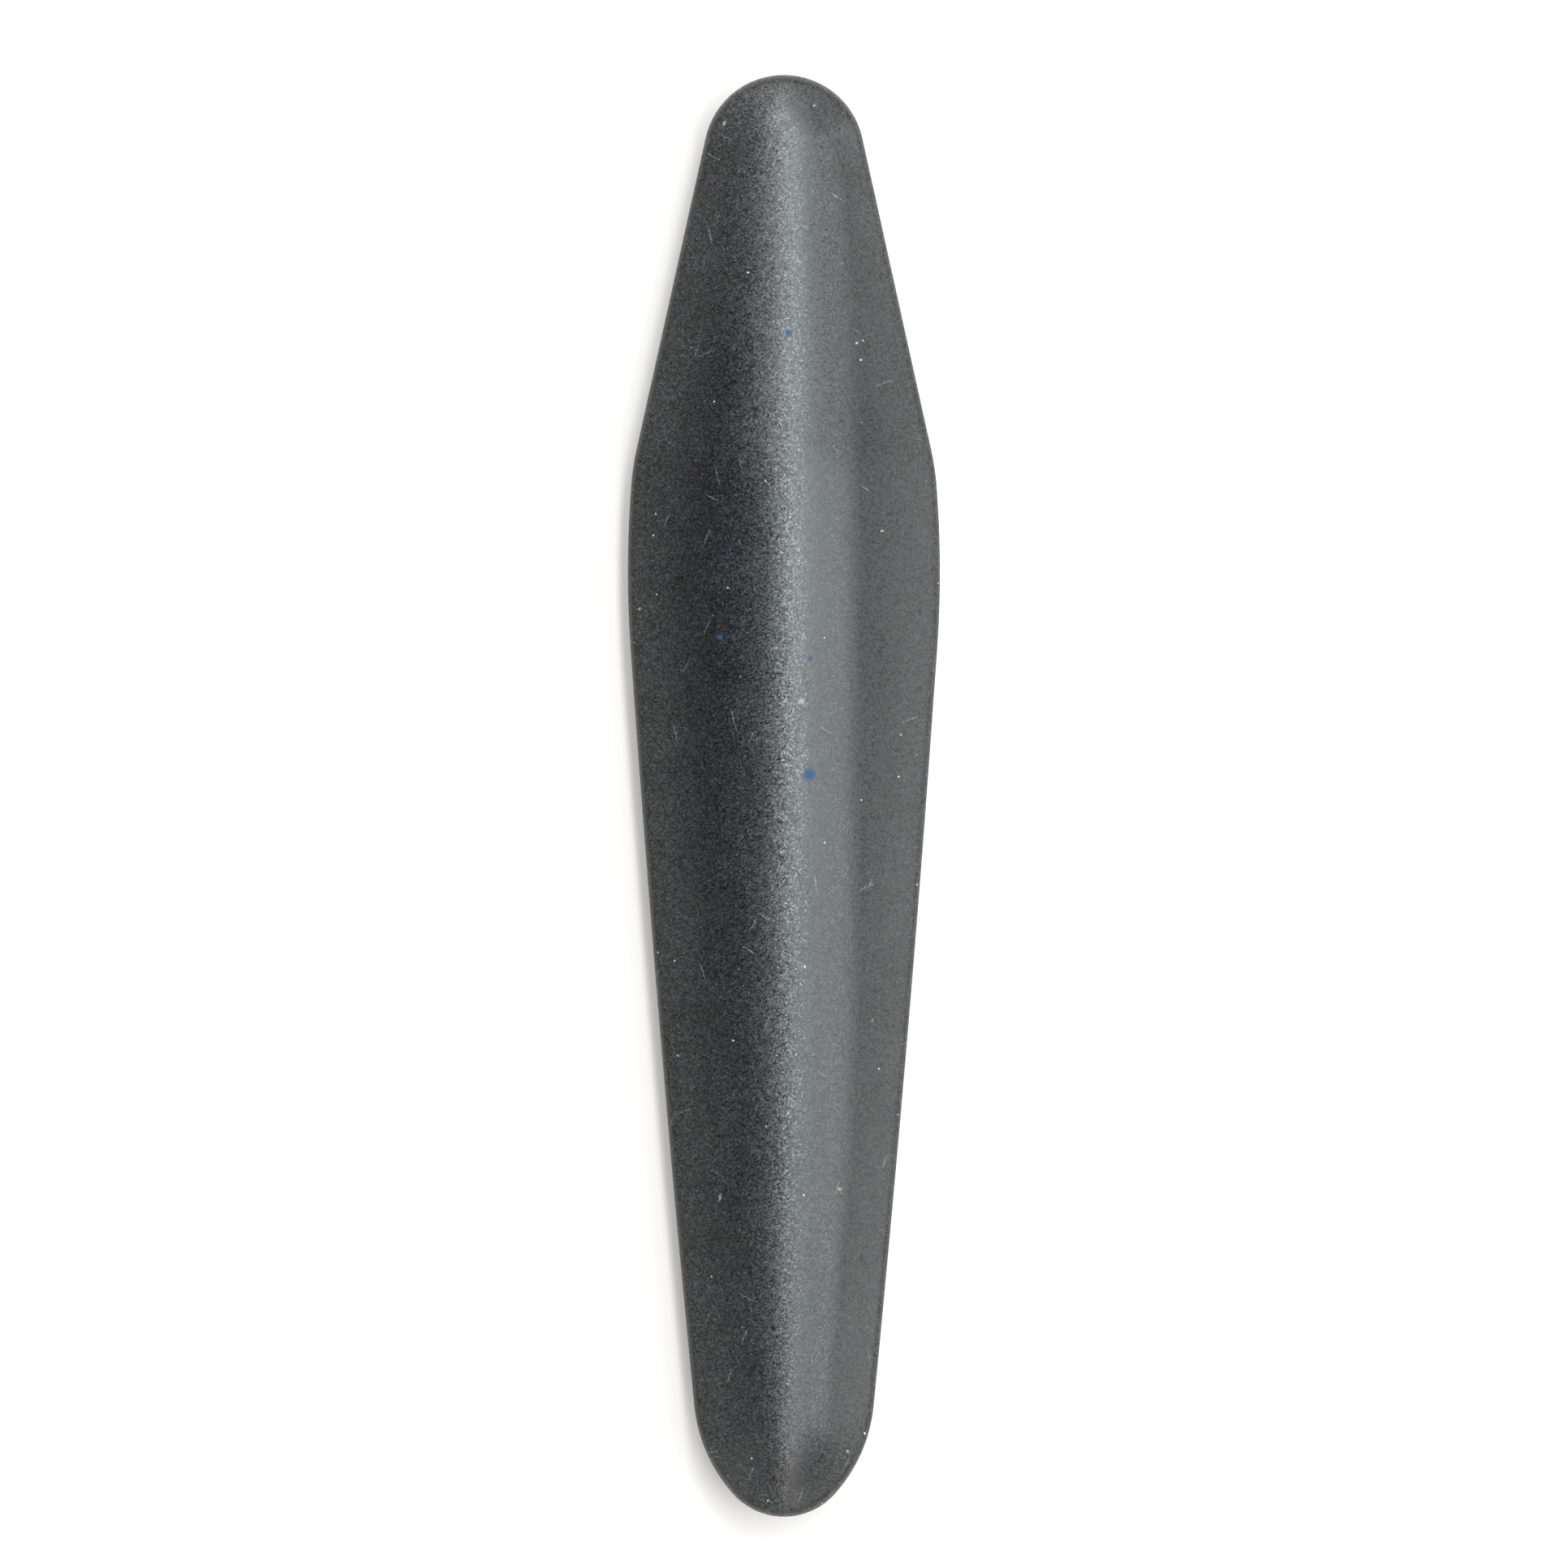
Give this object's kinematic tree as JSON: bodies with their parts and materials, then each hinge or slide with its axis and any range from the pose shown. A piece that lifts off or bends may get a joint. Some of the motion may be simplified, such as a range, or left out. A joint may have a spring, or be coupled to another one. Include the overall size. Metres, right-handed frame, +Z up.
{
  "type": "massage stone",
  "caption": "Hand-held basalt massage stone: a long drop with a narrow round head, a wide belly, a blunt tail, a rounded ridge and rim, and a flat below to lie on.",
  "frame": {"origin": "below the middle of the stone's outline, on the surface that the stone lies on when it is held level", "axes": "+Y along the stone from its tail to its narrow head, +X across its width, +Z up through its thickness"},
  "size_m": [0.0368, 0.17, 0.0168],
  "materials": {
    "basalt": "honed to a fine satin, dark blue-grey, with fine sparkling grain"
  },
  "bodies": {
    "root": {"stone_body": "basalt"}
  },
  "joints": []
}
